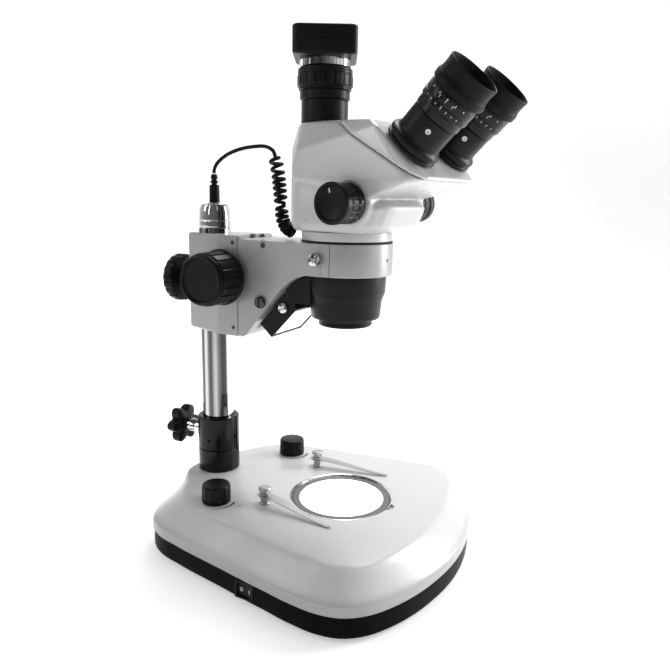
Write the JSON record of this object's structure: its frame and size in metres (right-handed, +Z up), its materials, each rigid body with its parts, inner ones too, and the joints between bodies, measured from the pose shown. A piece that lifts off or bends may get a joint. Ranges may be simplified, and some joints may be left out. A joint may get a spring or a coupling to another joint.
{
  "type": "stereo microscope",
  "caption": "Stereo zoom microscope on a post stand: round lit stage, rack focus block, ring-held head with tilted eye tubes and an upright camera on its photo tube.",
  "frame": {"origin": "the flat underside of the base tray, straight below the optical axis; the rubber feet reach 5 mm below it", "axes": "+Z up along the optical axis and the post, -Y towards the user, +X to the user's right"},
  "size_m": [0.273, 0.3493, 0.4793],
  "materials": {
    "white_enamel": "satin white enamel",
    "grey_casting": "cast aluminium with light grey enamel",
    "white_casting": "cast aluminium with off-white enamel",
    "black_plastic": "matt black moulded plastic",
    "black_anodised": "black anodised",
    "black_rubber": "soft black rubber",
    "chrome_plate": "bright chrome",
    "ground_steel": "ground steel",
    "brass_gear": "machined brass",
    "clear_glass": "polished glass",
    "opal_window": "opal diffuser",
    "circuit_board": "lamp board"
  },
  "bodies": {
    "stand": {"base_shell": "white_enamel", "base_tray": "black_plastic", "foot_front_l": "black_rubber", "foot_front_r": "black_rubber", "foot_back_l": "black_rubber", "foot_back_r": "black_rubber", "light_well": "black_anodised", "light_window": "opal_window", "lamp_board": "circuit_board", "power_inlet": "black_anodised", "post_foot": "black_anodised", "post_clamp": "black_anodised", "post": "chrome_plate", "post_cap": "chrome_plate", "cord_plug": "black_plastic", "cord_lead": "black_rubber"},
    "stage": {"stage_plate": "clear_glass"},
    "dimmer_left": {"dimmer_knob_l": "black_plastic"},
    "dimmer_right": {"dimmer_knob_r": "black_plastic"},
    "switch": {"power_rocker": "black_plastic"},
    "clip_left": {"clip_pillar_l": "chrome_plate", "clip_blade_l": "ground_steel"},
    "clip_right": {"clip_pillar_r": "chrome_plate", "clip_blade_r": "ground_steel"},
    "post_screw": {"clamp_knob": "black_plastic"},
    "height_sleeve": {"post_bush": "brass_gear", "cord_coil_upper": "black_rubber"},
    "block": {"focus_block": "grey_casting"},
    "block_lock": {"lock_knob": "black_plastic"},
    "pinion": {"pinion_shaft": "ground_steel", "focus_knob_l": "black_plastic", "focus_knob_r": "black_plastic"},
    "arm": {"focus_arm": "grey_casting", "rack": "brass_gear", "ring_holder": "grey_casting", "lamp_bracket": "black_anodised", "cord_coil_lower": "black_rubber"},
    "head_screw": {"ring_screw": "chrome_plate"},
    "drag_screw": {"tension_screw": "ground_steel"},
    "lamp": {"lamp_housing": "black_anodised", "lamp_window": "opal_window"},
    "head": {"head_body": "grey_casting", "prism_cover": "white_casting", "head_neck": "grey_casting", "objective": "black_anodised", "objective_lens": "clear_glass", "photo_tube": "black_anodised"},
    "zoom": {"zoom_shaft": "ground_steel", "zoom_knob_l": "black_plastic", "zoom_knob_r": "black_plastic"},
    "eye_tube_left": {"eye_tube_l": "black_anodised"},
    "eye_tube_right": {"eye_tube_r": "black_anodised"},
    "eyepiece_left": {"eyepiece_l": "black_anodised", "eyecup_l": "black_rubber", "eye_lens_l": "clear_glass"},
    "eyepiece_right": {"eyepiece_r": "black_anodised", "eyecup_r": "black_rubber", "eye_lens_r": "clear_glass"},
    "adapter": {"camera_adapter": "black_anodised"},
    "camera": {"camera_body": "black_plastic"}
  },
  "joints": [
    {"name": "stage_lift", "type": "slide", "parent": "stand", "child": "stage", "axis": [0, 0, 1], "range_m": [0, 0.06]},
    {"name": "dimmer_left_turn", "type": "hinge", "parent": "stand", "child": "dimmer_left", "pos_m": [-0.069, 0.098, 0.048], "axis": [0, 0, 1], "range_deg": [-140, 140]},
    {"name": "dimmer_right_turn", "type": "hinge", "parent": "stand", "child": "dimmer_right", "pos_m": [0.069, 0.098, 0.048], "axis": [0, 0, 1], "range_deg": [-140, 140]},
    {"name": "switch_rock", "type": "hinge", "parent": "stand", "child": "switch", "pos_m": [-0.1234, 0.024, 0.0093], "axis": [0, 0, 1], "range_deg": [0, 12]},
    {"name": "clip_left_swing", "type": "hinge", "parent": "stand", "child": "clip_left", "pos_m": [-0.051, 0.055, 0.048], "axis": [0, 0, 1], "range_deg": [-35, 35]},
    {"name": "clip_right_swing", "type": "hinge", "parent": "stand", "child": "clip_right", "pos_m": [0.051, 0.055, 0.048], "axis": [0, 0, 1], "range_deg": [-35, 35]},
    {"name": "post_screw_turn", "type": "hinge", "parent": "stand", "child": "post_screw", "pos_m": [0, 0.1624, 0.0875], "axis": [0, 1, 0], "range_deg": [0, 360]},
    {"name": "height_slide", "type": "slide", "parent": "stand", "child": "height_sleeve", "axis": [0, 0, 1], "range_m": [-0.09, 0.004], "deforming": ["cord_lead"]},
    {"name": "block_swivel", "type": "hinge", "parent": "height_sleeve", "child": "block", "pos_m": [0, 0.147, 0.248], "axis": [0, 0, 1], "range_deg": [-60, 60], "deforming": ["cord_coil_upper"]},
    {"name": "block_lock_turn", "type": "hinge", "parent": "block", "child": "block_lock", "pos_m": [0, 0.1642, 0.248], "axis": [0, 1, 0], "range_deg": [0, 360]},
    {"name": "focus_slide", "type": "slide", "parent": "block", "child": "arm", "axis": [0, 0, 1], "range_m": [-0.025, 0.025], "deforming": ["cord_coil_lower"]},
    {"name": "pinion_turn", "type": "hinge", "parent": "block", "child": "pinion", "pos_m": [0, 0.111, 0.257], "axis": [1, 0, 0], "range_deg": [-240, 240]},
    {"name": "head_screw_turn", "type": "hinge", "parent": "arm", "child": "head_screw", "pos_m": [-0.0416, 0.008, 0.2795], "axis": [-1, 0, 0], "range_deg": [0, 360]},
    {"name": "drag_screw_turn", "type": "hinge", "parent": "arm", "child": "drag_screw", "pos_m": [-0.03423, 0.06949, 0.2365], "axis": [-0.9933, 0.1152, 0], "range_deg": [-90, 90]},
    {"name": "lamp_tilt", "type": "hinge", "parent": "arm", "child": "lamp", "pos_m": [0, 0.05, 0.232], "axis": [1, 0, 0], "range_deg": [-22, 0]},
    {"name": "head_turn", "type": "hinge", "parent": "arm", "child": "head", "pos_m": [0, 0, 0.28], "axis": [0, 0, 1], "range_deg": [-78, 96]},
    {"name": "zoom_turn", "type": "hinge", "parent": "head", "child": "zoom", "pos_m": [-0.00516, -0.03259, 0.327], "axis": [0.9877, -0.1564, 0], "range_deg": [-150, 150]},
    {"name": "eye_tube_left_swing", "type": "hinge", "parent": "head", "child": "eye_tube_left", "pos_m": [-0.04303, -0.07992, 0.36263], "axis": [-0.1106, -0.6984, 0.7071], "range_deg": [-20, 20]},
    {"name": "eye_tube_right_swing", "type": "hinge", "parent": "head", "child": "eye_tube_right", "pos_m": [0.01623, -0.08931, 0.36263], "axis": [-0.1106, -0.6984, 0.7071], "range_deg": [-20, 20]},
    {"name": "eyepiece_left_turn", "type": "hinge", "parent": "eye_tube_left", "child": "eyepiece_left", "pos_m": [-0.04193, -0.07294, 0.3697], "axis": [-0.1106, -0.6984, 0.7071], "range_deg": [-180, 180]},
    {"name": "eyepiece_right_turn", "type": "hinge", "parent": "eye_tube_right", "child": "eyepiece_right", "pos_m": [0.01733, -0.08232, 0.3697], "axis": [-0.1106, -0.6984, 0.7071], "range_deg": [-180, 180]},
    {"name": "adapter_turn", "type": "hinge", "parent": "head", "child": "adapter", "pos_m": [0.00427, 0.02696, 0.42], "axis": [0, 0, 1], "range_deg": [-90, 90]},
    {"name": "camera_turn", "type": "hinge", "parent": "adapter", "child": "camera", "pos_m": [0.00427, 0.02696, 0.46], "axis": [0, 0, 1], "range_deg": [-180, 180]}
  ],
  "couplings": [
    {"joint": "pinion_turn", "follows": "focus_slide", "rad_per_m": -166.67},
    {"joint": "eye_tube_right_swing", "follows": "eye_tube_left_swing", "ratio": -1}
  ]
}
